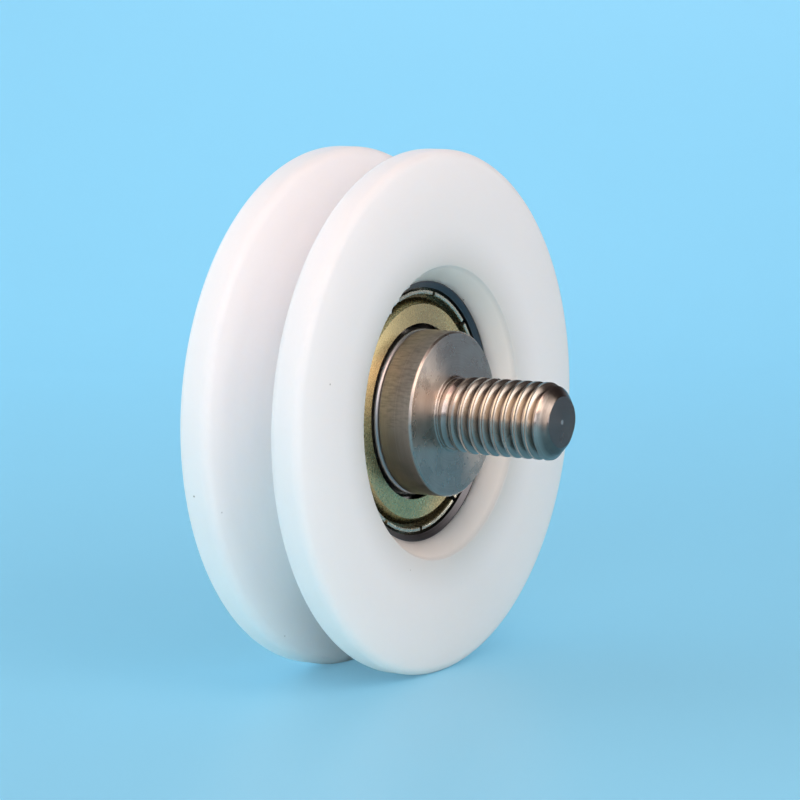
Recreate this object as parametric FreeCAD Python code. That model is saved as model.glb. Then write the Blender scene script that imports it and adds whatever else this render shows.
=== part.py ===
import FreeCAD, Part
import math
import os
from FreeCAD import Vector

# U-groove pulley wheel on a stud axle, in millimetres.
# The axle lies along Y and the stud points to -Y. The origin is the middle of the collar's face.

# Nylon wheel
wheel_diameter = 54.0
wheel_width = 14.2
rim_round = 1.0
face_rise = 0.5
face_round = 45.0
groove_mouth = 7.2
groove_depth = 8.0
groove_lip_round = 1.0
recess_mouth = 30.3
lip_margin = 0.05

# Ball bearing, rings and balls
bearing_bore = 10.0
bearing_outside = 30.0
bearing_width = 9.0
ring_round = 0.6
land_round = 0.45
ball_diameter = 4.762
ball_count = 8
first_ball_angle = 90.0
race_closeness = 0.52
running_clearance = 0.04
land_offset = 1.4

# Ribbon cage and its rivets
cage_sheet = 0.4
cage_width = 2.0
pocket_clearance = 0.12
rivet_margin = 0.25
rivet_head_ratio = 1.55
rivet_clearance = 0.02
rivet_head_height = 0.35

# Shields and their seats in the outer ring
shield_sheet = 0.3
shield_set_back = 0.4
shield_gap = 0.5
shield_step_width = 0.65
shield_floor_width = 0.35
shield_rim_width = 0.45
shield_rim_gap = 0.25
shield_rim_round = 0.15
shield_foot_clearance = 0.05
seat_ledge = 1.4
seat_depth = 1.45
seat_undercut = 0.2
seat_flare_width = 0.55
seat_flare_depth = 0.35
notch_count = 11
notch_width = 0.5
first_notch_angle = 76.0

# Stud axle
thread_diameter = 8.0
stud_length = 12.7
tip_diameter = 5.2
tip_length = 1.2
root_round = 0.2
collar_proud = 1.25
collar_clearance = 0.1
collar_front_chamfer = 0.2
collar_back_chamfer = 0.2
peen_diameter = 13.0
peen_height = 1.2
peen_round = 0.5
dimple_diameter = 3.0
dimple_depth = 0.6

# Places along the axle
recess_depth = (wheel_width - bearing_width) / 2
collar_length = recess_depth + collar_proud
wheel_front = collar_proud
wheel_middle = wheel_front + wheel_width / 2
bearing_front = collar_length
bearing_back = bearing_front + bearing_width
bearing_middle = bearing_front + bearing_width / 2

# Radii that the pieces share
wheel_radius = wheel_diameter / 2
bore_radius = bearing_bore / 2
outside_radius = bearing_outside / 2
pitch_radius = (bore_radius + outside_radius) / 2
ball_radius = ball_diameter / 2
race_radius = race_closeness * ball_diameter
inner_land = pitch_radius - land_offset
outer_land = pitch_radius + land_offset
seat_wall = outer_land + seat_ledge
lip_radius = seat_wall + seat_flare_width + lip_margin
collar_radius = inner_land - collar_clearance
pocket_radius = ball_radius + pocket_clearance
dome_radius = pocket_radius + cage_sheet

# A rivet's head fills the flat between two pockets, but for a margin
ball_spacing = 2 * pitch_radius * math.sin(math.pi / ball_count)
flat_length = ball_spacing - 2 * math.sqrt(dome_radius ** 2 - cage_sheet ** 2)
rivet_head_diameter = flat_length - 2 * rivet_margin
rivet_diameter = rivet_head_diameter / rivet_head_ratio

axle_direction = Vector(0, 1, 0)
stud_direction = Vector(0, -1, 0)
centre = Vector(0, bearing_middle, 0)
tiny = 1e-6


# The three points of a profile's corner: where its round starts, its middle and where it ends.
def corner_points(before, here, after, size):
    if size == 0:
        return here, None, here
    to_before = (before - here).normalize()
    to_after = (after - here).normalize()
    half_angle = to_before.getAngle(to_after) / 2
    reach = size / math.tan(half_angle)
    inward = (to_before + to_after).normalize()
    middle = here + inward * (size / math.sin(half_angle) - size)
    return here + to_before * reach, middle, here + to_after * reach


# A solid turned about the axle. Each corner is (radius, place) or (radius, place, round).
def turned(corners):
    points = [Vector(corner[0], corner[1], 0) for corner in corners]
    rounds = [corner[2] if len(corner) > 2 else 0 for corner in corners]
    count = len(corners)
    bends = []
    for i in range(count):
        bends.append(corner_points(points[i - 1], points[i], points[(i + 1) % count], rounds[i]))
    edges = []
    for i in range(count):
        start, middle, end = bends[i]
        if middle:
            edges.append(Part.Arc(start, middle, end).toShape())
        next_start = bends[(i + 1) % count][0]
        if end.distanceToPoint(next_start) > tiny:
            edges.append(Part.makeLine(end, next_start))
    face = Part.Face(Part.Wire(edges))
    return face.revolve(Vector(0, 0, 0), axle_direction, 360)


# A profile that is the same on both sides of a middle plane, from its half on the far side.
def mirrored(half, middle):
    far_side = [(corner[0], middle + corner[1], *corner[2:]) for corner in half]
    near_side = [(corner[0], middle - corner[1], *corner[2:]) for corner in reversed(half)]
    return far_side + near_side


# A place on a circle about the axle, with its angle counted from +X towards +Z.
def on_circle(radius, angle, place):
    turn = math.radians(angle)
    return Vector(radius * math.cos(turn), place, radius * math.sin(turn))


# A tube along the axle, from a place towards +Y or -Y.
def tube(inside, outside, length, place, side):
    base = Vector(0, place, 0)
    direction = axle_direction * side
    outer = Part.makeCylinder(outside, length, base, direction)
    inner = Part.makeCylinder(inside, length, base, direction)
    return outer.cut(inner)


def ball_angles():
    return [first_ball_angle + i * 360 / ball_count for i in range(ball_count)]


def rivet_angles():
    return [angle + 180 / ball_count for angle in ball_angles()]


# Wheel with a full-round groove and slightly domed faces, moulded round the outer ring.
# Each face has a flared recess in front of the bearing.
def groove_wheel():
    half_width = wheel_width / 2
    half_mouth = groove_mouth / 2
    half_bearing = bearing_width / 2
    groove_bottom = wheel_radius - groove_depth
    recess_radius = recess_mouth / 2
    face_middle = (wheel_radius + recess_radius) / 2
    half = [
        (groove_bottom, half_mouth, half_mouth),
        (wheel_radius, half_mouth, groove_lip_round),
        (wheel_radius, half_width, rim_round),
        (face_middle, half_width + face_rise, face_round),
        (recess_radius, half_width),
        (lip_radius, half_bearing),
        (outside_radius, half_bearing, ring_round),
    ]
    return turned(mirrored(half, wheel_middle))


# Outer ring with a ground race and, on each side, an undercut seat for a shield.
def bearing_outer_ring():
    half_width = bearing_width / 2
    seat = half_width - seat_depth
    undercut_top = seat + shield_sheet
    half = [
        (outer_land, seat),
        (seat_wall + seat_undercut, seat),
        (seat_wall + seat_undercut, undercut_top),
        (seat_wall, undercut_top),
        (seat_wall, half_width - seat_flare_depth),
        (seat_wall + seat_flare_width, half_width),
        (outside_radius, half_width, ring_round),
    ]
    ring = turned(mirrored(half, bearing_middle))
    race_centre = pitch_radius + ball_radius + running_clearance - race_radius
    return ring.cut(Part.makeTorus(race_centre, race_radius, centre, axle_direction))


# Inner ring with a ground race and rounded edges.
def bearing_inner_ring():
    half_width = bearing_width / 2
    half = [
        (inner_land, half_width, land_round),
        (bore_radius, half_width, ring_round),
    ]
    ring = turned(mirrored(half, bearing_middle))
    race_centre = pitch_radius - ball_radius - running_clearance + race_radius
    return ring.cut(Part.makeTorus(race_centre, race_radius, centre, axle_direction))


def ball(angle):
    return Part.makeSphere(ball_radius, on_circle(pitch_radius, angle, bearing_middle))


# Half a ball shape that bulges from the middle plane to one side.
def half_sphere(radius, angle, side):
    middle = on_circle(pitch_radius, angle, bearing_middle)
    return Part.makeSphere(radius, middle, axle_direction * side, 0, 90, 360)


# One half of the pressed ribbon cage: flats on the middle plane and a domed pocket over each ball.
def cage_half(side):
    inside = pitch_radius - cage_width / 2
    outside = pitch_radius + cage_width / 2
    ribbon = tube(inside, outside, cage_sheet, bearing_middle, side)
    ribbon_room = tube(inside, outside, dome_radius, bearing_middle, side)
    domes = [half_sphere(dome_radius, angle, side).common(ribbon_room) for angle in ball_angles()]
    pockets = [half_sphere(pocket_radius, angle, side) for angle in ball_angles()]
    holes = []
    for angle in rivet_angles():
        start = on_circle(pitch_radius, angle, bearing_middle)
        hole_radius = rivet_diameter / 2 + rivet_clearance
        holes.append(Part.makeCylinder(hole_radius, cage_sheet, start, axle_direction * side))
    return ribbon.fuse(domes).cut(pockets + holes).removeSplitter()


# A rivet through both halves of the cage, closed by a head on each side.
def cage_rivet(angle):
    head_start = cage_sheet + rivet_head_height
    shank_start = on_circle(pitch_radius, angle, bearing_middle - head_start)
    shank = Part.makeCylinder(rivet_diameter / 2, 2 * head_start, shank_start, axle_direction)
    heads = []
    for side in (-1, 1):
        seat = on_circle(pitch_radius, angle, bearing_middle + side * cage_sheet)
        direction = axle_direction * side
        heads.append(Part.makeCylinder(rivet_head_diameter / 2, rivet_head_height, seat, direction))
    return shank.fuse(heads).removeSplitter()


# Pressed shield: flat ring, step, floor and a rolled rim that is notched and held by its foot.
def shield(side):
    rim_outside = seat_wall - shield_rim_gap
    rim_inside = rim_outside - shield_rim_width
    step_end = rim_inside - shield_floor_width
    flat_end = step_end - shield_step_width
    foot_end = seat_wall + seat_undercut - shield_foot_clearance
    flat_start = inner_land + shield_gap
    floor = seat_depth - shield_sheet
    fold = shield_sheet / 2
    section = [
        (flat_start, shield_set_back),
        (flat_end, shield_set_back),
        (step_end, floor),
        (rim_inside, floor),
        (rim_inside, shield_set_back, shield_rim_round),
        (rim_outside, shield_set_back, shield_rim_round),
        (rim_outside, floor),
        (foot_end, floor),
        (foot_end, seat_depth),
        (step_end - fold, seat_depth),
        (flat_end - fold, shield_set_back + shield_sheet),
        (flat_start, shield_set_back + shield_sheet),
    ]
    face_place = bearing_middle + side * bearing_width / 2
    plate = turned([(corner[0], face_place - side * corner[1], *corner[2:]) for corner in section])
    notches = []
    for i in range(notch_count):
        notch = Part.makeBox(rim_outside - step_end, floor, notch_width)
        low_place = min(face_place, face_place - side * floor)
        notch.translate(Vector(rim_inside - shield_floor_width / 2, low_place, -notch_width / 2))
        notch.rotate(Vector(0, 0, 0), stud_direction, first_notch_angle + i * 360 / notch_count)
        notches.append(notch)
    return plate.cut(notches)


# Turned axle: chamfered stud, collar, journal through the bearing and an end peened over behind it.
def stud_axle():
    stud_radius = thread_diameter / 2
    peen_end = bearing_back + peen_height
    return turned([
        (0, -stud_length),
        (tip_diameter / 2, -stud_length),
        (stud_radius, tip_length - stud_length),
        (stud_radius, 0, root_round),
        (collar_radius - collar_front_chamfer, 0),
        (collar_radius, collar_front_chamfer),
        (collar_radius, collar_length - collar_back_chamfer),
        (collar_radius - collar_back_chamfer, collar_length),
        (bore_radius, collar_length),
        (bore_radius, bearing_back),
        (peen_diameter / 2, bearing_back),
        (peen_diameter / 2, peen_end, peen_round),
        (dimple_diameter / 2, peen_end),
        (0, peen_end - dimple_depth),
    ])


def save(node, shape):
    shape.exportStep(os.path.join("parts", node + ".step"))


os.makedirs("parts", exist_ok=True)
save("groove_wheel", groove_wheel())
save("bearing_outer_ring", bearing_outer_ring())
save("bearing_inner_ring", bearing_inner_ring())
for number, angle in enumerate(ball_angles(), 1):
    save("ball_" + str(number), ball(angle))
save("cage_front", cage_half(-1))
save("cage_back", cage_half(1))
save("cage_rivets", Part.makeCompound([cage_rivet(angle) for angle in rivet_angles()]))
save("front_shield", shield(-1))
save("back_shield", shield(1))
save("stud_axle", stud_axle())
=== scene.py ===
import bpy
import math
from mathutils import Matrix, Vector, noise


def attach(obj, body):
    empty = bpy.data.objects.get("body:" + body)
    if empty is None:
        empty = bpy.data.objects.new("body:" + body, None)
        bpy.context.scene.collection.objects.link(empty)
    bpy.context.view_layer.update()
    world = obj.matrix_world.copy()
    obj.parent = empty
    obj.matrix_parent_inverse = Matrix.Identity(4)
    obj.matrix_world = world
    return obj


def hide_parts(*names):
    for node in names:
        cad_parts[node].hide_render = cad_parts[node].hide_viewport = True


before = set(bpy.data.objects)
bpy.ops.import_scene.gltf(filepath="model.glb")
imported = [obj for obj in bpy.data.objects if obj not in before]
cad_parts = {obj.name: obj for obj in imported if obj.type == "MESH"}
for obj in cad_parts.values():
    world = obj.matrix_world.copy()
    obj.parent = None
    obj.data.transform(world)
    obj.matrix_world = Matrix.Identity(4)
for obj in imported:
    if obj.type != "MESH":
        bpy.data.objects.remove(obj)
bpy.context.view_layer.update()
print("frame loaded,", len(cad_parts), "nodes")

mm = 0.001
seamGap = 0.0005  # mm, points nearer than this become one
cutGap = 0.0001  # mm


# Camera, from the photo's own viewing angle

camera = {
    "turn": 57.99,  # degrees round from the stud's end
    "lift": 6.97,  # degrees above the axle
    "distance": 355.7,  # mm from the middle of the wheel's face
    "slideRight": -4.46,
    "slideUp": 1.35,
    "facePlace": 1.25,  # mm along the axle
    "lens": 156.1,
    "clipStart": 10.0,
}


def addCamera():
    turn = math.radians(camera["turn"])
    lift = math.radians(camera["lift"])
    level = math.cos(lift)
    back = Vector((-math.sin(turn) * level, -math.cos(turn) * level, math.sin(lift)))
    right = Vector((math.cos(turn), -math.sin(turn), 0))
    up = back.cross(right)
    place = Vector((0, camera["facePlace"], 0)) + back * camera["distance"]
    place += right * camera["slideRight"] + up * camera["slideUp"]
    data = bpy.data.cameras.new("photoCamera")
    data.lens = camera["lens"]
    data.clip_start = camera["clipStart"] * mm
    body = bpy.data.objects.new("photoCamera", data)
    bpy.context.scene.collection.objects.link(body)
    axes = Matrix((right, up, back)).transposed()
    body.matrix_world = Matrix.Translation(place * mm) @ axes.to_4x4()
    bpy.context.scene.camera = body
    return right, back


viewRight, viewBack = addCamera()
print("camera placed")


# Small tools for turned pieces, in millimetres as (radius, place along the axle)

def deselectAll():
    bpy.ops.object.select_all(action="DESELECT")


def selectOnly(piece):
    deselectAll()
    piece.select_set(True)
    bpy.context.view_layer.objects.active = piece


def cornerRound(before, here, after, size, steps):
    if size == 0:
        return [here]
    before, here, after = Vector(before), Vector(here), Vector(after)
    toBefore = (before - here).normalized()
    toAfter = (after - here).normalized()
    half = toBefore.angle(toAfter) / 2
    middle = here + (toBefore + toAfter).normalized() * (size / math.sin(half))
    start = here + toBefore * (size / math.tan(half)) - middle
    end = here + toAfter * (size / math.tan(half)) - middle
    sweep = start.angle_signed(end)
    points = []
    for i in range(steps + 1):
        turned = start.copy()
        turned.rotate(Matrix.Rotation(-sweep * i / steps, 2))
        points.append(tuple(middle + turned))
    return points


def outlinePoints(corners, closed, steps):
    flat = [corner[:2] for corner in corners]
    sizes = [corner[2] if len(corner) > 2 else 0 for corner in corners]
    count = len(corners)
    points = []
    for i in range(count):
        atEnd = i in (0, count - 1) and not closed
        size = 0 if atEnd else sizes[i]
        points += cornerRound(flat[i - 1], flat[i], flat[(i + 1) % count], size, steps)
    if closed:
        points.append(points[0])
    return points


def startPoint(name, place):
    deselectAll()
    bpy.ops.mesh.primitive_plane_add(size=mm, location=place)
    piece = bpy.context.active_object
    piece.name = name
    piece.data.name = name
    bpy.ops.object.transform_apply(location=True, rotation=True, scale=True)
    bpy.ops.object.mode_set(mode="EDIT")
    bpy.ops.mesh.select_all(action="SELECT")
    bpy.ops.mesh.merge(type="CENTER")
    return piece


def drawOutline(name, points):
    piece = startPoint(name, Vector((points[0][0], points[0][1], 0)) * mm)
    for before, here in zip(points, points[1:]):
        step = ((here[0] - before[0]) * mm, (here[1] - before[1]) * mm, 0)
        bpy.ops.mesh.extrude_region_move(TRANSFORM_OT_translate={"value": step})
    bpy.ops.object.mode_set(mode="OBJECT")
    return piece


def closeSeams():
    bpy.ops.object.mode_set(mode="EDIT")
    bpy.ops.mesh.select_all(action="SELECT")
    bpy.ops.mesh.remove_doubles(threshold=seamGap * mm)
    bpy.ops.mesh.dissolve_degenerate(threshold=seamGap * mm)
    bpy.ops.mesh.normals_make_consistent(inside=False)
    bpy.ops.object.mode_set(mode="OBJECT")


def spinOutline(name, points, steps):
    piece = drawOutline(name, points)
    bpy.ops.object.mode_set(mode="EDIT")
    bpy.ops.mesh.select_all(action="SELECT")
    bpy.ops.mesh.spin(steps=steps, angle=2 * math.pi, center=(0, 0, 0), axis=(0, 1, 0))
    bpy.ops.object.mode_set(mode="OBJECT")
    closeSeams()
    return piece


def smoothPiece(piece, degrees):
    selectOnly(piece)
    bpy.ops.object.shade_smooth_by_angle(angle=math.radians(degrees))


# Nylon wheel

wheel = {
    "radius": 27.0,
    "width": 14.2,
    "middle": 8.35,
    "rimRound": 1.0,
    "faceRise": 0.5,  # the face is slightly domed
    "faceRound": 45.0,
    "grooveMouth": 7.2,
    "grooveDepth": 8.0,
    "grooveLipRound": 1.0,
    "grooveSlack": 0.001,  # keeps the two rounds of the groove's bottom from meeting
    "recessMouth": 15.15,
    "recessFoot": 13.4,
    "recessEdgeRound": 0.12,
    "recessFootRound": 0.05,
    "bearingRadius": 15.0,
    "bearingWidth": 9.0,
    "ringRound": 0.6,
    "steps": 360,
    "roundSteps": 9,
    "smoothAngle": 30,
    "burrSize": 0.42,  # mm that the cut edge of the recess is frayed
    "burrReach": 0.2,  # mm to either side of the edge
    "burrDepth": 0.25,
    "burrFrom": 104.0,  # degrees round from the right, seen from the front
    "burrTo": 140.0,
    "burrFade": 8.0,
    "burrWaves": ((0.9, 0, 1.0), (2.3, 5, 0.7)),  # rate per degree, start, share
}


def frayEdge(piece):
    w = wheel
    front = w["middle"] - w["width"] / 2
    for vertex in piece.data.vertices:
        x, y, z = (c / mm for c in vertex.co)
        radius = math.hypot(x, z)
        degrees = math.degrees(math.atan2(z, x))
        nearEdge = abs(radius - w["recessMouth"]) <= w["burrReach"]
        onFront = y <= front + w["burrDepth"]
        if not (nearEdge and onFront and w["burrFrom"] < degrees < w["burrTo"]):
            continue
        ragged = 0
        for rate, start, share in w["burrWaves"]:
            ragged += share * noise.noise(Vector((degrees * rate, start, 0)))
        toEnd = min(degrees - w["burrFrom"], w["burrTo"] - degrees)
        fade = min(toEnd, w["burrFade"]) / w["burrFade"]
        wanted = radius - max(ragged, 0) * w["burrSize"] * fade
        vertex.co.x = x * wanted / radius * mm
        vertex.co.z = z * wanted / radius * mm


def makeWheel():
    w = wheel
    halfWidth = w["width"] / 2
    halfMouth = w["grooveMouth"] / 2
    halfBearing = w["bearingWidth"] / 2
    faceMiddle = (w["radius"] + w["recessMouth"]) / 2
    half = [
        (w["radius"] - w["grooveDepth"], halfMouth, halfMouth - w["grooveSlack"]),
        (w["radius"], halfMouth, w["grooveLipRound"]),
        (w["radius"], halfWidth, w["rimRound"]),
        (faceMiddle, halfWidth + w["faceRise"], w["faceRound"]),
        (w["recessMouth"], halfWidth, w["recessEdgeRound"]),
        (w["recessFoot"], halfBearing, w["recessFootRound"]),
        (w["bearingRadius"], halfBearing, w["ringRound"]),
    ]
    far = [(r, w["middle"] + y, size) for r, y, size in half]
    near = [(r, w["middle"] - y, size) for r, y, size in reversed(half)]
    points = outlinePoints(far + near, True, w["roundSteps"])
    piece = spinOutline("nylonWheel", points, w["steps"])
    frayEdge(piece)
    smoothPiece(piece, w["smoothAngle"])
    return piece


nylonWheel = makeWheel()
print("wheel turned,", len(nylonWheel.data.polygons), "faces")


# Stud axle with its rolled thread

stud = {
    "threadRadius": 3.96,
    "rootRadius": 3.25,
    "blankRadius": 3.62,
    "pitch": 1.25,
    "crestFlat": 0.32,
    "crestSeam": 0.05,  # the dip that rolling leaves along a crest
    "rootFlat": 0.2,
    "crestRound": 0.04,
    "rootRound": 0.1,
    "threadRoundSteps": 3,
    "threadStart": 3.2,  # starts inside the collar
    "threadSunk": 0.8,  # mm of it left in there
    "turns": 14,
    "turnSteps": 96,
    "fadeLength": 3.2,
    "fadeLeast": 0.3,
    "length": 12.7,
    "tipRadius": 2.6,
    "tipLength": 1.2,
    "tipCrown": 1.5,  # 1 is a plain cone
    "neckRadius": 3.86,
    "neckLength": 0.35,
    "neckRound": 0.08,
    "neckFillet": 0.15,
    "collarRadius": 8.5,
    "collarLength": 3.85,
    "frontChamfer": 0.2,
    "frontInnerRound": 0.04,
    "frontOuterRound": 0.08,
    "backChamfer": 0.2,
    "backRound": 0.05,
    "journalRadius": 5.0,
    "bearingBack": 12.85,
    "peenRadius": 6.5,
    "peenHeight": 1.2,
    "peenRound": 0.5,
    "dimpleRadius": 1.5,
    "dimpleDepth": 0.6,
    "dimpleRound": 0.1,
    "steps": 192,
    "roundSteps": 6,
    "smoothAngle": 24,
}


def threadOutline():
    s = stud
    flank = (s["pitch"] - s["crestFlat"] - s["rootFlat"]) / 2
    root, crest = s["rootRadius"], s["threadRadius"]
    crestStart = s["rootFlat"] / 2 + flank
    profile = [
        (root, 0, 0),
        (root, s["rootFlat"] / 2, s["rootRound"]),
        (crest, crestStart, s["crestRound"]),
        (crest - s["crestSeam"], crestStart + s["crestFlat"] / 2, s["crestRound"]),
        (crest, crestStart + s["crestFlat"], s["crestRound"]),
        (root, s["pitch"] - s["rootFlat"] / 2, s["rootRound"]),
        (root, s["pitch"], 0),
    ]
    corners = [(r, s["threadStart"] - y, size) for r, y, size in profile]
    return outlinePoints(corners, False, s["threadRoundSteps"])


def shapeThread(piece):
    s = stud
    for vertex in piece.data.vertices:
        x, y, z = (c / mm for c in vertex.co)
        radius = math.hypot(x, z)
        share = min(max(-y / s["fadeLength"], 0), 1)
        depth = s["fadeLeast"] + (1 - s["fadeLeast"]) * share * share * (3 - 2 * share)
        wanted = s["blankRadius"] + (radius - s["blankRadius"]) * depth
        fromEnd = min(max((y + s["length"]) / s["tipLength"], 0), 1)
        crown = 1 - (1 - fromEnd) ** s["tipCrown"]
        wanted = min(wanted, s["tipRadius"] + (s["threadRadius"] - s["tipRadius"]) * crown)
        vertex.co.x = x * wanted / radius * mm
        vertex.co.z = z * wanted / radius * mm


def cutAcross(place, keepBelow):
    bpy.ops.object.mode_set(mode="EDIT")
    bpy.ops.mesh.select_all(action="SELECT")
    bpy.ops.mesh.bisect(plane_co=(0, place * mm, 0), plane_no=(0, 1, 0), use_fill=True,
                        threshold=cutGap * mm, clear_inner=not keepBelow, clear_outer=keepBelow)
    bpy.ops.object.mode_set(mode="OBJECT")


def makeThread():
    s = stud
    piece = drawOutline("thread", threadOutline())
    screw = piece.modifiers.new("helix", "SCREW")
    screw.axis = "Y"
    screw.angle = 2 * math.pi
    screw.screw_offset = -s["pitch"] * mm
    screw.iterations = s["turns"]
    screw.steps = s["turnSteps"]
    screw.render_steps = s["turnSteps"]
    bpy.ops.object.modifier_apply(modifier="helix")
    closeSeams()
    shapeThread(piece)
    cutAcross(s["threadSunk"], True)
    cutAcross(-s["length"], False)
    closeSeams()
    return piece


def makeCollar():
    s = stud
    radius = s["collarRadius"]
    end = s["bearingBack"] + s["peenHeight"]
    corners = [
        (0, -s["neckLength"]),
        (s["neckRadius"], -s["neckLength"], s["neckRound"]),
        (s["neckRadius"], 0, s["neckFillet"]),
        (radius - s["frontChamfer"], 0, s["frontInnerRound"]),
        (radius, s["frontChamfer"], s["frontOuterRound"]),
        (radius, s["collarLength"] - s["backChamfer"], s["backRound"]),
        (radius - s["backChamfer"], s["collarLength"]),
        (s["journalRadius"], s["collarLength"]),
        (s["journalRadius"], s["bearingBack"]),
        (s["peenRadius"], s["bearingBack"]),
        (s["peenRadius"], end, s["peenRound"]),
        (s["dimpleRadius"], end, s["dimpleRound"]),
        (0, end - s["dimpleDepth"]),
    ]
    return spinOutline("studAxle", outlinePoints(corners, False, s["roundSteps"]), s["steps"])


def makeStud():
    thread = makeThread()
    piece = makeCollar()
    selectOnly(piece)
    join = piece.modifiers.new("join", "BOOLEAN")
    join.operation = "UNION"
    join.solver = "EXACT"
    join.object = thread
    bpy.ops.object.modifier_apply(modifier="join")
    bpy.data.objects.remove(thread)
    closeSeams()
    smoothPiece(piece, stud["smoothAngle"])
    return piece


studAxle = makeStud()
print("stud axle made,", len(studAxle.data.polygons), "faces")


# Small tools for finishes

noiseSpan = (0.3, 0.7)  # where nearly all of a noise texture's values lie


def newFinish(name):
    finish = bpy.data.materials.new(name)
    finish.use_nodes = True
    tree = finish.node_tree
    return finish, tree, tree.nodes["Principled BSDF"]


def objectCoordinates(tree):
    return tree.nodes.new("ShaderNodeTexCoord").outputs["Object"]


def plug(tree, socket, value):
    if hasattr(value, "is_output"):
        tree.links.new(value, socket)
    else:
        socket.default_value = value


def plugAll(tree, shader, values):
    for name, value in values.items():
        plug(tree, shader.inputs[name], value)


def calc(tree, operation, a, b=0.0):
    node = tree.nodes.new("ShaderNodeMath")
    node.operation = operation
    plug(tree, node.inputs[0], a)
    plug(tree, node.inputs[1], b)
    return node.outputs[0]


def times(tree, a, b):
    return calc(tree, "MULTIPLY", a, b)


def ranged(tree, value, span, ends):
    node = tree.nodes.new("ShaderNodeMapRange")
    tree.links.new(value, node.inputs["Value"])
    node.inputs["From Min"].default_value, node.inputs["From Max"].default_value = span
    node.inputs["To Min"].default_value, node.inputs["To Max"].default_value = ends
    return node.outputs["Result"]


def rangedSize(tree, value, span, ends):
    return ranged(tree, value, [size * mm for size in span], ends)


def axlePlaces(tree):
    spread = tree.nodes.new("ShaderNodeSeparateXYZ")
    tree.links.new(objectCoordinates(tree), spread.inputs[0])
    across, along, upward = spread.outputs
    squares = calc(tree, "ADD", times(tree, across, across), times(tree, upward, upward))
    return calc(tree, "SQRT", squares), along, upward


def speckle(tree, scale, detail=3.0, vector=None):
    texture = tree.nodes.new("ShaderNodeTexNoise")
    texture.inputs["Scale"].default_value = scale
    texture.inputs["Detail"].default_value = detail
    tree.links.new(vector or objectCoordinates(tree), texture.inputs["Vector"])
    return texture.outputs["Fac"]


def latheLines(tree, scale):
    radius, along = axlePlaces(tree)[:2]
    texture = tree.nodes.new("ShaderNodeTexNoise")
    texture.noise_dimensions = "1D"
    texture.inputs["Scale"].default_value = scale
    texture.inputs["Detail"].default_value = 2.0
    tree.links.new(calc(tree, "ADD", radius, along), texture.inputs["W"])
    return texture.outputs["Fac"]


def blendColours(tree, factor, first, second):
    node = tree.nodes.new("ShaderNodeMix")
    node.data_type = "RGBA"
    tree.links.new(factor, node.inputs["Factor"])
    plug(tree, node.inputs["A"], first)
    plug(tree, node.inputs["B"], second)
    return node.outputs["Result"]


def raiseSurface(tree, shader, height, depth, strength=1.0):
    bump = tree.nodes.new("ShaderNodeBump")
    bump.inputs["Distance"].default_value = depth * mm
    bump.inputs["Strength"].default_value = strength
    tree.links.new(height, bump.inputs["Height"])
    tree.links.new(bump.outputs["Normal"], shader.inputs["Normal"])


# Finishes, with spans in mm from the axle unless a note says otherwise

nylon = {
    "body": (0.918, 0.906, 0.918, 1),
    # painted shade: the face's colour darkens towards the bearing
    "paintedShadeNearBearing": (0.66, 0.655, 0.63, 1),
    "shadeSpan": (14.2, 19.5),
    "shadeCurve": 1.6,
    "cloudScale": 160,
    "cloudEnds": (0.96, 1.04),
    # painted light: the recess wall gets a brighter, warmer tone for light passing through the
    # nylon, in place of the painted shade
    "recessWallLitTone": (0.94, 0.895, 0.86, 1),
    "recessSpan": (14.8, 15.1),
    "speck": (0.25, 0.22, 0.2, 1),
    "speckScale": 230,
    "speckSpan": (0.016, 0.032),  # share of a cell
    "speckShare": 0.75,
    "grainScale": 900,
    "roughness": (0.37, 0.48),
    "scatter": 0.9,
    "scatterTint": (1.0, 0.95, 0.9),
    "scatterReach": 2.6,
    "refraction": 1.53,
    "gloss": 0.28,
    "pitScale": 2200,
    "pitDetail": 4,
    "pitDepth": 0.03,
    "pitStrength": 0.5,
}


def nylonFinish():
    n = nylon
    finish, tree, shader = newFinish("whiteNylon")
    radius = axlePlaces(tree)[0]
    shade = calc(tree, "POWER", rangedSize(tree, radius, n["shadeSpan"], (1, 0)), n["shadeCurve"])
    cloud = ranged(tree, speckle(tree, n["cloudScale"]), noiseSpan, n["cloudEnds"])
    # painted shade: the face darkens towards the bearing, broken up by the cloud
    colour = blendColours(tree, times(tree, shade, cloud), n["body"], n["paintedShadeNearBearing"])
    inside = rangedSize(tree, radius, n["recessSpan"], (1, 0))
    # painted light on the recess wall
    colour = blendColours(tree, inside, colour, n["recessWallLitTone"])
    specks = tree.nodes.new("ShaderNodeTexVoronoi")
    specks.inputs["Scale"].default_value = n["speckScale"]
    tree.links.new(objectCoordinates(tree), specks.inputs["Vector"])
    onSpeck = ranged(tree, specks.outputs["Distance"], n["speckSpan"], (n["speckShare"], 0))
    plugAll(tree, shader, {
        "Base Color": blendColours(tree, onSpeck, colour, n["speck"]),
        "Roughness": ranged(tree, speckle(tree, n["grainScale"]), noiseSpan, n["roughness"]),
        "Subsurface Weight": n["scatter"],
        "Subsurface Radius": n["scatterTint"],
        "Subsurface Scale": n["scatterReach"] * mm,
        "IOR": n["refraction"],
        "Specular IOR Level": n["gloss"],
    })
    pits = speckle(tree, n["pitScale"], n["pitDetail"])
    raiseSurface(tree, shader, pits, n["pitDepth"], n["pitStrength"])
    return finish


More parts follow.
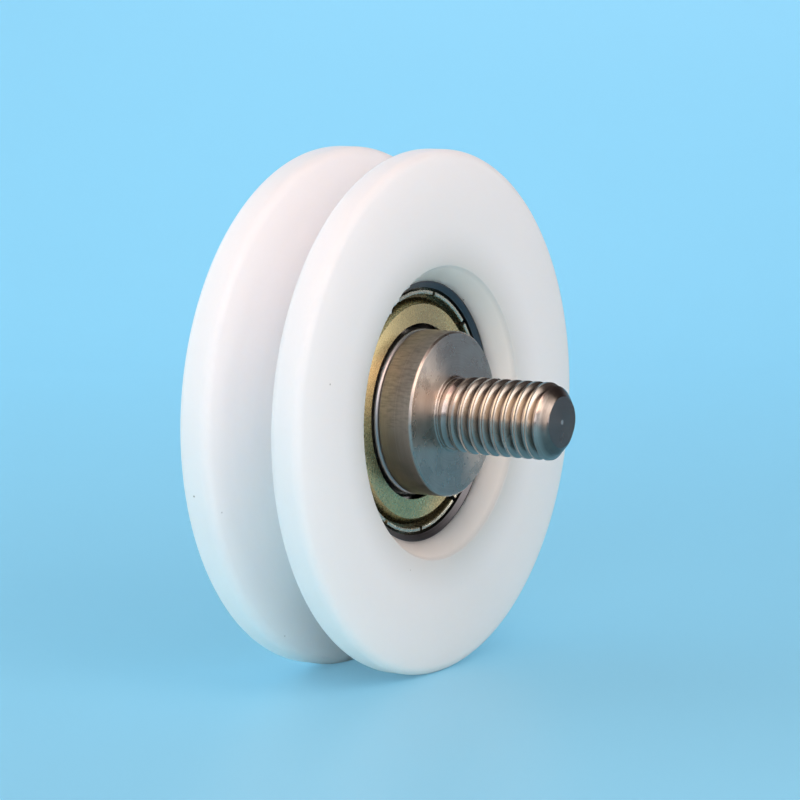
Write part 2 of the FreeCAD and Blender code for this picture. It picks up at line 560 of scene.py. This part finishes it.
turnedSteel = {
    "light": (0.57, 0.515, 0.46, 1),
    "dark": (0.46, 0.41, 0.365, 1),
    "cloudScale": 420,
    "cloudShare": 0.65,
    "lineShare": 0.35,
    "toneSpan": (0.38, 0.62),  # share of full tone
    # painted shade in the thread's roots
    "paintedRootShade": (0.10, 0.075, 0.065, 1),
    "rootShare": 0.75,
    "rootSpan": (3.3, 3.7),
    "neckSpan": (-0.7, -0.4),  # mm along the axle, no painted shade from the neck on
    "rootShadeCloud": (0.35, 0.6),  # share of full cloud
    "rootShadeEnds": (0.6, 1),
    "endFaceShade": (0.21, 0.195, 0.185, 1),  # painted shade: the tip's end face is darkened for the dark it mirrors
    "endSpan": (0.02, 0.08),  # mm from the tip
    "nib": (0.62, 0.60, 0.57, 1),  # left in the middle by the cut
    "nibSpan": (0.2, 0.3),
    # painted shade on the collar's side, darker towards the bottom, with worn streaks along the
    # axle
    "sideShadeAndWear": (0.10, 0.095, 0.08, 1),
    "sideShadeSpan": (-6.5, 1.0),  # mm above the axle, darkest at the low end
    "shadeWearCloud": (0.3, 0.6),  # share of full cloud
    "shadeWearEnds": (0.75, 1),
    "dragScale": 4200,
    "dragStretch": 0.25,
    "dragDetail": 4,
    "dragSpan": (0.4, 0.68),  # share of full cloud
    "dragShare": 0.4,
    "faceSpan": (-0.5, -0.3),  # mm along the axle, from the thread to the collar's face
    "sideSpan": (0.1, 0.3),  # mm along the axle, from the face to the collar's side
    "roughness": (0.24, 0.28, 0.36),  # thread, face, side
    "roughnessSpread": (-0.04, 0.04),
    "anisotropy": (0.3, 0.88, 0.3),  # thread, face, side
    "grainTurn": 0.25,  # the streaks lie along the radius
    "sideMetal": 0.85,
    "lineScale": 7000,
    "lineDepth": 0.0018,
}


def alongStud(tree, along, thread, face, side):
    toFace = rangedSize(tree, along, turnedSteel["faceSpan"], (thread, face))
    toSide = rangedSize(tree, along, turnedSteel["sideSpan"], (0, side - face))
    return calc(tree, "ADD", toFace, toSide)


def paintedRootShade(tree, radius, along, cloud):
    # painted shade, darkest in the thread's roots
    t = turnedSteel
    rootShade = rangedSize(tree, radius, t["rootSpan"], (t["rootShare"], 0))
    rootShade = times(tree, rootShade, rangedSize(tree, along, t["neckSpan"], (1, 0)))
    return times(tree, rootShade, ranged(tree, cloud, t["rootShadeCloud"], t["rootShadeEnds"]))


# painted shade towards the bottom of the collar's side, with worn streaks along the axle
def sideShadeAndWear(tree, along, upward, cloud):
    t = turnedSteel
    shadeAndWear = rangedSize(tree, upward, t["sideShadeSpan"], (1, 0))
    drag = tree.nodes.new("ShaderNodeVectorMath")
    drag.operation = "MULTIPLY"
    drag.inputs[1].default_value = (1, t["dragStretch"], 1)
    tree.links.new(objectCoordinates(tree), drag.inputs[0])
    streaks = speckle(tree, t["dragScale"], t["dragDetail"], drag.outputs[0])
    worn = ranged(tree, streaks, t["dragSpan"], (0, t["dragShare"]))
    shadeAndWear = calc(tree, "MAXIMUM", shadeAndWear, worn)
    shadeAndWear = times(tree, shadeAndWear, rangedSize(tree, along, t["sideSpan"], (0, 1)))
    return times(tree, shadeAndWear, ranged(tree, cloud, t["shadeWearCloud"], t["shadeWearEnds"]))


def turnedSteelFinish():
    t = turnedSteel
    finish, tree, shader = newFinish("turnedSteel")
    radius, along, upward = axlePlaces(tree)
    lines = latheLines(tree, t["lineScale"])
    cloud = speckle(tree, t["cloudScale"])
    lineTone = times(tree, lines, t["lineShare"])
    tone = calc(tree, "ADD", lineTone, times(tree, cloud, t["cloudShare"]))
    tone = ranged(tree, tone, t["toneSpan"], (0, 1))
    colour = blendColours(tree, tone, t["dark"], t["light"])
    # painted shade in the thread's roots
    colour = blendColours(tree, paintedRootShade(tree, radius, along, cloud), colour, t["paintedRootShade"])
    endSpan = [place - stud["length"] for place in t["endSpan"]]
    atEnd = rangedSize(tree, along, endSpan, (1, 0))
    # painted shade on the tip's end face
    colour = blendColours(tree, atEnd, colour, t["endFaceShade"])
    onNib = times(tree, atEnd, rangedSize(tree, radius, t["nibSpan"], (1, 0)))
    colour = blendColours(tree, onNib, colour, t["nib"])
    # painted shade and worn streaks on the collar's side
    colour = blendColours(tree, sideShadeAndWear(tree, along, upward, cloud), colour, t["sideShadeAndWear"])
    spread = ranged(tree, cloud, noiseSpan, t["roughnessSpread"])
    tangent = tree.nodes.new("ShaderNodeTangent")
    tangent.direction_type = "RADIAL"
    tangent.axis = "Y"
    plugAll(tree, shader, {
        "Base Color": colour,
        "Metallic": rangedSize(tree, along, t["sideSpan"], (1, t["sideMetal"])),
        "Roughness": calc(tree, "ADD", alongStud(tree, along, *t["roughness"]), spread),
        "Anisotropic": alongStud(tree, along, *t["anisotropy"]),
        "Anisotropic Rotation": t["grainTurn"],
        "Tangent": tangent.outputs[0],
    })
    raiseSurface(tree, shader, lines, t["lineDepth"])
    return finish


ringSteel = {
    "ground": ((0.52, 0.51, 0.50, 1), (0.40, 0.40, 0.40, 1)),  # light, dark
    # painted shade: the outer ring's dark tone stands in for the dark it mirrors in the recess
    "shadedOuter": ((0.14, 0.14, 0.15, 1), (0.08, 0.08, 0.09, 1)),
    "roughness": (0.24, 0.38),
    "lineScale": 14000,
    "lineDepth": 0.004,
}


def ringSteelFinish(name, light, dark):
    finish, tree, shader = newFinish(name)
    lines = latheLines(tree, ringSteel["lineScale"])
    plugAll(tree, shader, {
        "Base Color": blendColours(tree, lines, dark, light),
        "Metallic": 1,
        "Roughness": ranged(tree, lines, noiseSpan, ringSteel["roughness"]),
    })
    raiseSurface(tree, shader, lines, ringSteel["lineDepth"])
    return finish


shieldPlate = {
    "gold": (0.65, 0.56, 0.29, 1),
    "olive": (0.53, 0.475, 0.27, 1),
    "cloudScale": 160,
    "cloudDetail": 2,
    "cloudSpan": (0.35, 0.65),  # share of full cloud
    "rim": (0.60, 0.60, 0.50, 1),
    "rimSpan": (12.0, 12.1),
    # grease and painted shade on the parts of the shield sunk deepest towards the bearing's
    # middle
    "greaseAndShade": (0.09, 0.075, 0.04, 1),
    "greaseShadeSpan": (3.65, 3.95),  # mm from the bearing's middle, full to none
    "greaseShadeShare": 0.85,
    "metal": 0.97,
    "roughness": (0.25, 0.30),
    "grainScale": 3000,
    "grainDepth": 0.0005,
    "flatSpan": (8.9, 11.9),
    "crown": 0.45,  # mm that the flat falls outward
}


def shieldPlateFinish():
    p = shieldPlate
    finish, tree, shader = newFinish("yellowPassivatedPlate")
    cloud = speckle(tree, p["cloudScale"], p["cloudDetail"])
    cloud = ranged(tree, cloud, p["cloudSpan"], (0, 1))
    radius, along = axlePlaces(tree)[:2]
    colour = blendColours(tree, cloud, p["olive"], p["gold"])
    onRim = rangedSize(tree, radius, p["rimSpan"], (0, 1))
    colour = blendColours(tree, onRim, colour, p["rim"])
    depth = calc(tree, "ABSOLUTE", calc(tree, "SUBTRACT", along, wheel["middle"] * mm))
    # grease and painted shade on the shield's sunken parts
    greasedAndShaded = rangedSize(tree, depth, p["greaseShadeSpan"], (p["greaseShadeShare"], 0))
    grain = speckle(tree, p["grainScale"])
    plugAll(tree, shader, {
        "Base Color": blendColours(tree, greasedAndShaded, colour, p["greaseAndShade"]),
        "Metallic": p["metal"],
        "Roughness": ranged(tree, grain, noiseSpan, p["roughness"]),
    })
    crown = rangedSize(tree, radius, p["flatSpan"], (1, 0))
    height = calc(tree, "ADD", crown, times(tree, grain, p["grainDepth"] / p["crown"]))
    raiseSurface(tree, shader, height, p["crown"])
    return finish


ballSteel = {
    "light": (0.78, 0.79, 0.81, 1),
    "dark": (0.66, 0.68, 0.71, 1),
    "cloudScale": 700,
    "roughness": (0.05, 0.12),
}

cageSteel = {
    "light": (0.60, 0.60, 0.59, 1),
    "dark": (0.46, 0.46, 0.44, 1),
    "cloudScale": 900,
    "roughness": (0.28, 0.42),
    "grainScale": 6000,
    "grainDepth": 0.01,
}


def cloudedSteelFinish(name, steel):
    finish, tree, shader = newFinish(name)
    cloud = speckle(tree, steel["cloudScale"])
    plugAll(tree, shader, {
        "Base Color": blendColours(tree, cloud, steel["dark"], steel["light"]),
        "Metallic": 1,
        "Roughness": ranged(tree, cloud, noiseSpan, steel["roughness"]),
    })
    if "grainScale" in steel:
        raiseSurface(tree, shader, speckle(tree, steel["grainScale"]), steel["grainDepth"])
    return finish


def dress(piece, finish):
    piece.data.materials.clear()
    piece.data.materials.append(finish)


whiteNylon = nylonFinish()
turned = turnedSteelFinish()
groundRing = ringSteelFinish("groundRingSteel", *ringSteel["ground"])
# painted shade on the outer ring
shadedOuterRing = ringSteelFinish("darkRingSteel", *ringSteel["shadedOuter"])
passivated = shieldPlateFinish()
polishedBall = cloudedSteelFinish("polishedBallSteel", ballSteel)
pressedCage = cloudedSteelFinish("pressedCageSteel", cageSteel)
ballCount = 8

dress(nylonWheel, whiteNylon)
dress(studAxle, turned)
dress(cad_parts["bearing_inner_ring"], groundRing)
dress(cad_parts["bearing_outer_ring"], shadedOuterRing)
for node in ("front_shield", "back_shield"):
    dress(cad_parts[node], passivated)
for node in ("cage_front", "cage_back", "cage_rivets"):
    dress(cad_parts[node], pressedCage)
for number in range(1, ballCount + 1):
    dress(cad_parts["ball_%d" % number], polishedBall)
print("finishes set")

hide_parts("groove_wheel")
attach(nylonWheel, "wheel")
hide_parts("stud_axle")
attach(studAxle, "axle")


# Floor, backdrop and soft light, placed in mm as (right, towards the camera, up)

studio = {
    "floorPlace": -27.02,
    "floorRight": 205.0,
    "floorLeft": -700.0,
    "floorFront": 420.0,
    "floorBack": -420.0,
    "sweepRound": 150.0,
    "sweepSteps": 16,
    "wallHeight": 700.0,
    "blue": (0.285, 0.662, 0.89, 1),
    "cloudScale": 8,
    "cloudLeast": 0.97,
    "bounce": (0.5, 0.88, 1.0, 1),  # what the floor throws back on the wheel
    "glow": 0.32,  # share of the sweep's tone that no shadow falls on
    "floorRoughness": 0.38,
    "floorGloss": 0.1,
    "fill": (0.309, 0.309, 0.309, 1),
    "horizon": (0.30, 0.31, 0.355, 1),  # what the steel mirrors beyond the floor
    "ceiling": (0.05, 0.04, 0.04, 1),
    "ceilingSpan": (0.05, 0.35),  # upward share of the direction
    "warmCard": (2.9, 2.3, 1.75, 1),  # mirrored from the left, dull surfaces don't see it
    "warmFrom": (-0.86, 0.12, 0.5),
    "warmReach": (0.6, 0.78),
    "sideCard": (3.3, 3.0, 2.8, 1),  # mirrored from the right
    "sideFrom": (0.91, 0.27, 0.15),
    "sideReach": (0.84, 0.95),
}

lamps = [
    # name, place, aim, size in mm, watts, colour
    ("frontSoftbox", (0, 520, 220), (0, 0, 0), 380, 0.86, (1.0, 0.93, 0.97)),
    ("rightSoftbox", (230, 190, 150), (0, 0, 0), 220, 0.05, (0.8, 0.92, 1.0)),
    ("leftSoftbox", (-320, -20, 120), (0, 0, 0), 260, 0.165, (0.93, 0.96, 1.0)),
    ("leftWideSoftbox", (-420, 60, 230), (0, 0, 0), 520, 0.31, (0.97, 0.96, 1.0)),
    ("backSoftbox", (-260, -250, 200), (0, 0, 0), 260, 0.35, (0.78, 0.93, 1.0)),
    ("faceCard", (64, 87, 200), (0, 0, 0), 140, 0.08, (1.0, 0.72, 0.67)),
    ("nearCard", (78, 120, 110), (0, 0, 0), 100, 0.09, (1.0, 0.7, 0.58)),
    ("lowCard", (-200, 150, -5), (0, 0, 0), 60, 0.028, (1.0, 0.95, 0.96)),
    ("levelCard", (150, 230, 25), (0, 0, 0), 120, 0.02, (0.92, 0.95, 1.0)),
    ("wallWash", (60, -120, 480), (90, -420, 110), 300, 0.43, (0.94, 0.92, 1.0)),
]
openSpread = 180  # degrees
narrowLamps = {"wallWash": 90}  # so that the wheel stays out of its beam


def levelled(right, nearer, up):
    flatBack = Vector((viewBack.x, viewBack.y, 0)).normalized()
    return (viewRight * right + flatBack * nearer + Vector((0, 0, up))) * mm


def sweepFinish():
    s = studio
    finish, tree, shader = newFinish("paleBlueSweep")
    cloud = ranged(tree, speckle(tree, s["cloudScale"]), noiseSpan, (0, 1))
    lit = [c * (1 - s["glow"]) for c in s["blue"][:3]]
    deeper = [c * s["cloudLeast"] for c in lit]
    seen = blendColours(tree, cloud, deeper + [1], lit + [1])
    rays = tree.nodes.new("ShaderNodeLightPath").outputs
    direct = calc(tree, "ADD", rays["Is Camera Ray"], rays["Is Transmission Ray"])
    looked = calc(tree, "MINIMUM", calc(tree, "ADD", direct, rays["Is Glossy Ray"]), 1)
    direct = calc(tree, "MINIMUM", direct, 1)
    plugAll(tree, shader, {
        "Base Color": blendColours(tree, looked, s["bounce"], seen),
        "Emission Color": s["blue"],
        "Emission Strength": times(tree, direct, s["glow"]),
        "Roughness": s["floorRoughness"],
        "Specular IOR Level": s["floorGloss"],
    })
    return finish


def makeFloor():
    s = studio
    start = levelled(s["floorLeft"], s["floorFront"], s["floorPlace"])
    floor = startPoint("blueFloor", start)
    front = (s["floorFront"], s["floorPlace"])
    corner = (s["floorBack"], s["floorPlace"])
    top = (s["floorBack"], s["floorPlace"] + s["wallHeight"])
    sweep = cornerRound(front, corner, top, s["sweepRound"], s["sweepSteps"])
    line = [front] + sweep + [top]
    for before, here in zip(line, line[1:]):
        step = levelled(0, here[0] - before[0], here[1] - before[1])
        bpy.ops.mesh.extrude_region_move(TRANSFORM_OT_translate={"value": step})
    bpy.ops.mesh.select_all(action="SELECT")
    across = levelled(s["floorRight"] - s["floorLeft"], 0, 0)
    bpy.ops.mesh.extrude_region_move(TRANSFORM_OT_translate={"value": across})
    bpy.ops.object.mode_set(mode="OBJECT")
    bpy.ops.object.shade_smooth()
    dress(floor, sweepFinish())


def addLamps():
    for name, place, aim, size, watts, colour in lamps:
        data = bpy.data.lights.new(name, "AREA")
        data.shape = "SQUARE"
        data.size = size * mm
        data.energy = watts
        data.spread = math.radians(narrowLamps.get(name, openSpread))
        data.color = colour
        lamp = bpy.data.objects.new(name, data)
        bpy.context.scene.collection.objects.link(lamp)
        lamp.location = levelled(*place)
        beam = levelled(*aim) - levelled(*place)
        lamp.rotation_euler = beam.to_track_quat("-Z", "Y").to_euler()


def setWorld():
    world = bpy.data.worlds.new("surround")
    bpy.context.scene.world = world
    world.use_nodes = True
    tree = world.node_tree
    rays = tree.nodes.new("ShaderNodeLightPath").outputs
    spread = tree.nodes.new("ShaderNodeSeparateXYZ")
    direction = tree.nodes.new("ShaderNodeTexCoord").outputs["Generated"]
    tree.links.new(direction, spread.inputs[0])
    height = ranged(tree, spread.outputs["Z"], studio["ceilingSpan"], (0, 1))
    mirrored = blendColours(tree, height, studio["horizon"], studio["ceiling"])
    for card in ("warm", "side"):
        toCard = tree.nodes.new("ShaderNodeVectorMath")
        toCard.operation = "DOT_PRODUCT"
        tree.links.new(direction, toCard.inputs[0])
        toCard.inputs[1].default_value = levelled(*studio[card + "From"]).normalized()
        share = ranged(tree, toCard.outputs["Value"], studio[card + "Reach"], (0, 1))
        mirrored = blendColours(tree, share, mirrored, studio[card + "Card"])
    colour = blendColours(tree, rays["Is Glossy Ray"], studio["fill"], mirrored)
    colour = blendColours(tree, rays["Is Camera Ray"], colour, studio["blue"])
    tree.links.new(colour, tree.nodes["Background"].inputs["Color"])


makeFloor()
addLamps()
setWorld()
bpy.context.scene.view_settings.view_transform = "Standard"
print("floor, lamps and surround set")
